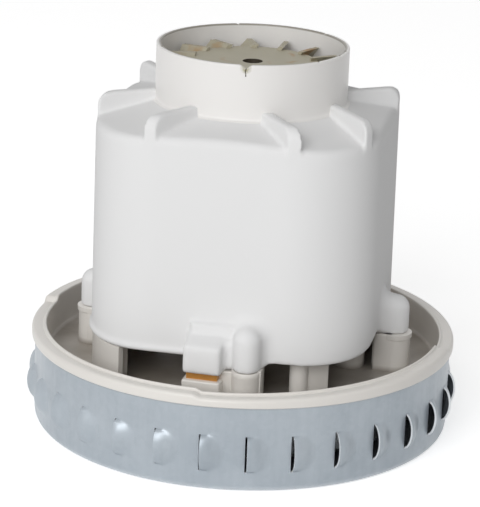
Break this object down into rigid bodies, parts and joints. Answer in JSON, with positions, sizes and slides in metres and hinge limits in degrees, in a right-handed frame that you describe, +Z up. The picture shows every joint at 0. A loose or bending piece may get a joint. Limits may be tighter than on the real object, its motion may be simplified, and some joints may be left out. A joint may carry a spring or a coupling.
{
  "type": "vacuum motor unit",
  "caption": "Bypass vacuum motor: white plastic hood with a round collar on a dish with a ramped sealing rim, over a louvred sheet fan can with an inlet eye below.",
  "frame": {"origin": "middle of the fan can's flat bottom, on the motor's axis", "axes": "+Z up along the motor's axis, from the inlet eye to the collar; -Y towards the flat with the brush block that shows in the picture"},
  "size_m": [0.1346, 0.135, 0.1194],
  "materials": {
    "galvanised_sheet": "hot-dip galvanised sheet, satin with faint spangle",
    "base_plastic": "cream white moulded thermoset, satin gloss",
    "cover_plastic": "white moulded thermoset, satin gloss",
    "screw_steel": "zinc plated",
    "lamination_steel": "stacked electrical sheet",
    "copper": "copper",
    "insulation": "moulded",
    "bridge_plastic": "moulded thermoset",
    "bearing_steel": "ground bearing steel",
    "brush_brass": "tarnished brass",
    "carbon": "pressed carbon",
    "lead_insulation": "matt",
    "shaft_steel": "turned",
    "resin": "moulded resin",
    "impeller_aluminium": "pressed sheet",
    "fan_plastic": "moulded, dusty"
  },
  "bodies": {
    "housing": {"fan_can": "galvanised_sheet", "base_housing": "base_plastic", "motor_cover": "cover_plastic", "cover_screws": "screw_steel", "stator_core": "lamination_steel", "field_coil_front": "copper", "field_coil_rear": "copper", "upper_insulator": "insulation", "lower_insulator": "insulation", "bearing_bridge": "bridge_plastic", "stator_bolts": "screw_steel", "bearing_retainer": "screw_steel", "retainer_screws": "screw_steel", "lower_bearing_outer_ring": "bearing_steel", "upper_bearing_outer_ring": "bearing_steel", "lower_bearing_shields": "bearing_steel", "upper_bearing_shields": "bearing_steel", "front_brush_tube": "brush_brass", "rear_brush_tube": "brush_brass", "front_brush_cap": "brush_brass", "rear_brush_cap": "brush_brass", "front_brush_spring": "screw_steel", "rear_brush_spring": "screw_steel", "coil_links": "copper", "mains_terminals": "brush_brass", "mains_leads": "lead_insulation"},
    "rotor": {"rotor_shaft": "shaft_steel", "armature_core": "lamination_steel", "armature_winding": "copper", "commutator_hub": "resin", "commutator_bars": "copper", "lower_bearing_inner_ring": "bearing_steel", "upper_bearing_inner_ring": "bearing_steel", "impeller_rear_disc": "impeller_aluminium", "impeller_front_disc": "impeller_aluminium", "impeller_blades": "impeller_aluminium", "impeller_spacer": "shaft_steel", "impeller_clamp": "shaft_steel", "impeller_washer": "screw_steel", "impeller_nut": "screw_steel", "cooling_fan": "fan_plastic"},
    "lower_ball_set": {"lower_bearing_balls": "bearing_steel", "lower_bearing_cage": "insulation"},
    "upper_ball_set": {"upper_bearing_balls": "bearing_steel", "upper_bearing_cage": "insulation"},
    "front_carbon": {"front_brush": "carbon"},
    "rear_carbon": {"rear_brush": "carbon"}
  },
  "joints": [
    {"name": "rotor_spin", "type": "hinge", "parent": "housing", "child": "rotor", "pos_m": [0, 0, 0.06], "axis": [0, 0, 1], "continuous": true},
    {"name": "lower_ball_spin", "type": "hinge", "parent": "housing", "child": "lower_ball_set", "pos_m": [0, 0, 0.0234], "axis": [0, 0, 1], "continuous": true},
    {"name": "upper_ball_spin", "type": "hinge", "parent": "housing", "child": "upper_ball_set", "pos_m": [0, 0, 0.097], "axis": [0, 0, 1], "continuous": true},
    {"name": "front_brush_slide", "type": "slide", "parent": "housing", "child": "front_carbon", "axis": [-0.0436, -0.999, 0], "range_m": [0, 0.003], "stiffness_N_per_m": 250, "springref_m": -0.012, "deforming": ["front_brush_spring"]},
    {"name": "rear_brush_slide", "type": "slide", "parent": "housing", "child": "rear_carbon", "axis": [0.0436, 0.999, 0], "range_m": [0, 0.003], "stiffness_N_per_m": 250, "springref_m": -0.012, "deforming": ["rear_brush_spring"]}
  ],
  "couplings": [
    {"joint": "lower_ball_spin", "follows": "rotor_spin", "ratio": 0.368},
    {"joint": "upper_ball_spin", "follows": "rotor_spin", "ratio": 0.368}
  ]
}
